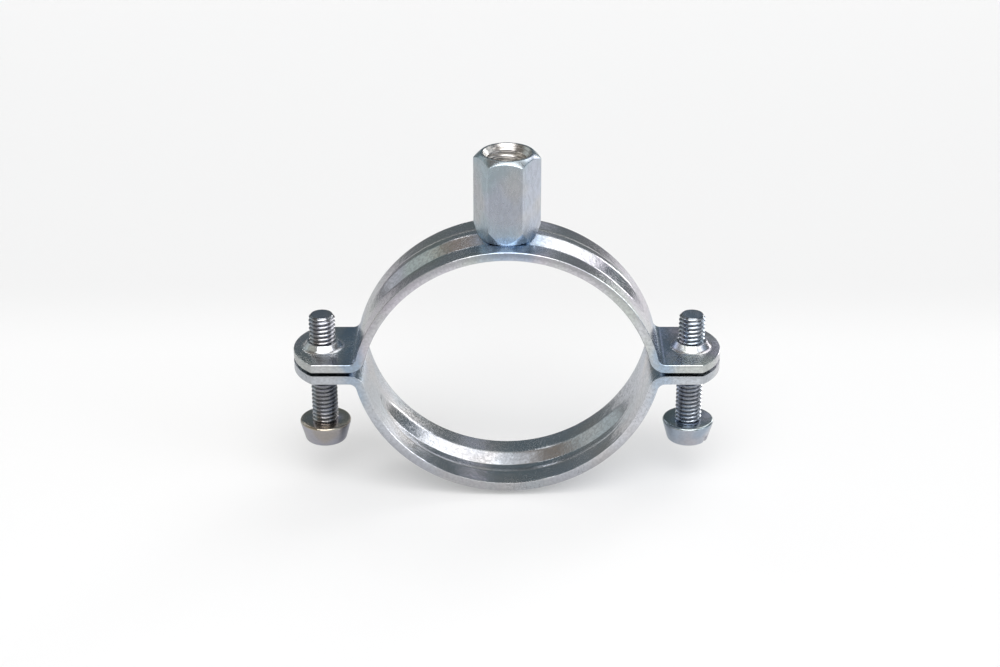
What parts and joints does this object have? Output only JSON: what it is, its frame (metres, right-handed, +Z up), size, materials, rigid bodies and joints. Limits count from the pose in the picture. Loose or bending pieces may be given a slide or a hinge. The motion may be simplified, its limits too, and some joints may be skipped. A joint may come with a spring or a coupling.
{
  "type": "pipe clamp",
  "caption": "Two-piece zinc-plated steel pipe clamp with a threaded hanger boss welded on top and a slotted screw through the flanges on each side.",
  "frame": {"origin": "middle of the ring, on the plane that parts the two halves, halfway along the strip's width", "axes": "+Z up along the hanger rod, X across the two clamp screws, Y along the pipe"},
  "size_m": [0.0972, 0.02, 0.0809],
  "materials": {
    "zinc_strip": "bright zinc plating over rolled strip, bluish, with faint lilac and green tints and fine rolling grain",
    "zinc_boss": "satin blue-white zinc plating over drawn hexagon bar",
    "zinc_screw": "bright zinc plating over cold-headed and rolled screw steel"
  },
  "bodies": {
    "hanger": {"upper_band": "zinc_strip", "threaded_boss": "zinc_boss"},
    "lower_half": {"lower_band": "zinc_strip"},
    "left_screw": {"left_screw": "zinc_screw"},
    "right_screw": {"right_screw": "zinc_screw"}
  },
  "joints": [
    {"name": "lower_half_slide", "type": "slide", "parent": "hanger", "child": "lower_half", "axis": [0, 0, 1], "range_m": [-0.009, 0.0007]},
    {"name": "left_screw_turn", "type": "hinge", "parent": "lower_half", "child": "left_screw", "pos_m": [-0.042, 0, 0], "axis": [0, 0, 1], "range_deg": [-3241, 253]},
    {"name": "right_screw_turn", "type": "hinge", "parent": "lower_half", "child": "right_screw", "pos_m": [0.042, 0, 0], "axis": [0, 0, 1], "range_deg": [-3241, 253]}
  ],
  "couplings": [
    {"joint": "left_screw_turn", "follows": "lower_half_slide", "rad_per_m": 6283.2},
    {"joint": "right_screw_turn", "follows": "lower_half_slide", "rad_per_m": 6283.2}
  ]
}
